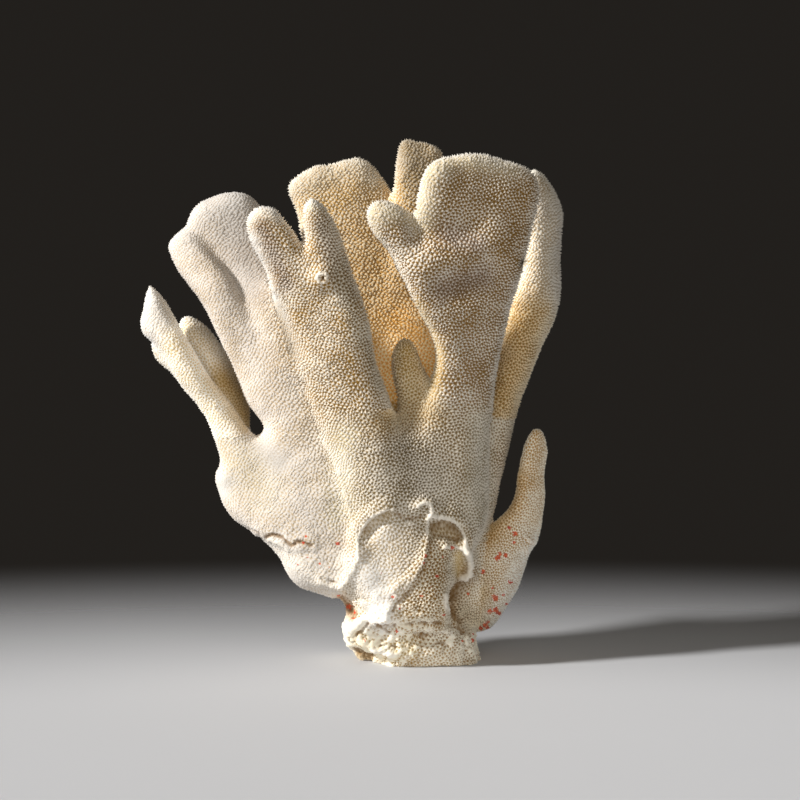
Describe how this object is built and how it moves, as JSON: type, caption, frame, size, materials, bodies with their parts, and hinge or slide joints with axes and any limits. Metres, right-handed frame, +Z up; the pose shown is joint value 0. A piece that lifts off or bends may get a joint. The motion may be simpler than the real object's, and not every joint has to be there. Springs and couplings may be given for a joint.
{
  "type": "coral skeleton",
  "caption": "Bleached cats paw coral: flattened, lobed branches that fan out from a short stump, cut off flat at the foot, rough with fine pores all over",
  "frame": {"origin": "middle of the flat cut at the foot, on the floor", "axes": "+Z up along the longest extent, +X to the right as seen from the front, -Y towards the viewer"},
  "size_m": [0.1417, 0.0599, 0.1742],
  "materials": {
    "skeleton": "chalky porous limestone, cream",
    "pale_skeleton": "chalky porous limestone, ivory white",
    "golden_skeleton": "chalky porous limestone, golden",
    "crust": "rough crusted limestone, ochre with small red spots"
  },
  "bodies": {
    "root": {"stump": "crust", "palm": "skeleton", "front_left_blade": "skeleton", "front_right_blade": "skeleton", "left_flank": "pale_skeleton", "far_left_branch": "pale_skeleton", "back_left_blade": "pale_skeleton", "back_blade": "golden_skeleton", "right_back_branch": "golden_skeleton", "right_finger": "crust"}
  },
  "joints": []
}
